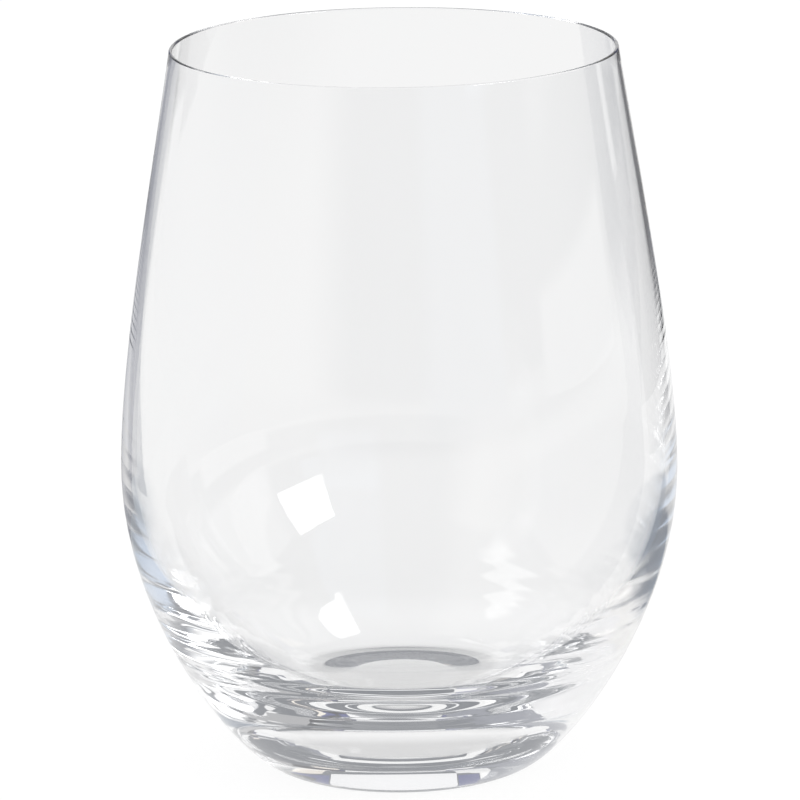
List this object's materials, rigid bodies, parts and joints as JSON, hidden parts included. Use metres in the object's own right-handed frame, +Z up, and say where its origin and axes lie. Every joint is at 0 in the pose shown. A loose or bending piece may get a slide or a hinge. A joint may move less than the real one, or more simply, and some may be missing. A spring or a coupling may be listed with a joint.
{
  "type": "water glass",
  "caption": "Stemless water glass: clear blown tumbler with a round belly, a fine lip that draws in and a thick solid base to stand on.",
  "frame": {"origin": "centre of the foot, on the plane of the table at z = 0", "axes": "+Z is up along the axis of the glass; X and Y are any two level directions, since the glass is round"},
  "size_m": [0.0916, 0.0916, 0.12],
  "materials": {
    "clear_glass": "fire-polished, clear"
  },
  "bodies": {
    "root": {"tumbler": "clear_glass"}
  },
  "joints": []
}
